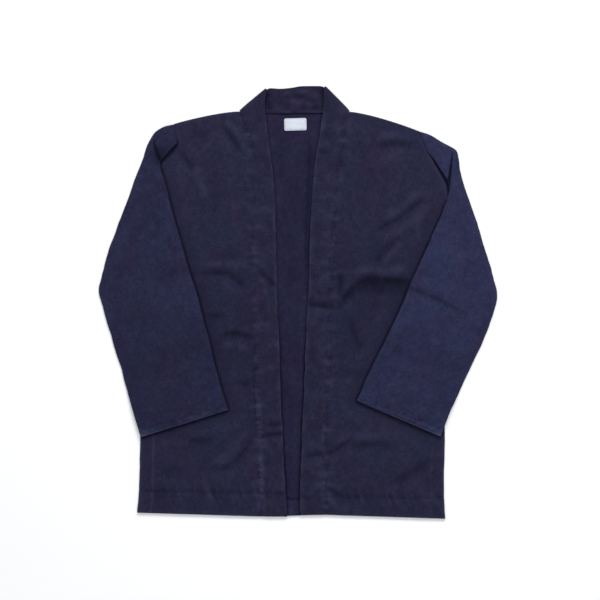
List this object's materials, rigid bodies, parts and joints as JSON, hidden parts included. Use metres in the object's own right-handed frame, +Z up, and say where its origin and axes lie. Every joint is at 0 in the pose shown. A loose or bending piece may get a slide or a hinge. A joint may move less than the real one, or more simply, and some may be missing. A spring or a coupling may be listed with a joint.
{
  "type": "haori",
  "caption": "Hip-length open-front haori jacket laid flat, with tapered sleeves turned in over the fronts and one long collar band round the neck.",
  "frame": {"origin": "on the surface that the jacket lies on, under the middle of its outline", "axes": "+X to the wearer's left, +Y from the hem to the collar, +Z up, square to the surface"},
  "size_m": [0.7158, 0.7781, 0.011],
  "materials": {
    "indigo_cotton": "matte slubbed cotton, dark indigo",
    "indigo_band": "matte slubbed cotton in two plies, dark indigo",
    "label_cloth": "smooth off-white woven tape"
  },
  "bodies": {
    "root": {"back_panel": "indigo_cotton", "front_panel_right": "indigo_cotton", "front_panel_left": "indigo_cotton", "sleeve_right": "indigo_cotton", "sleeve_left": "indigo_cotton", "collar_band": "indigo_band", "neck_label": "label_cloth"}
  },
  "joints": []
}
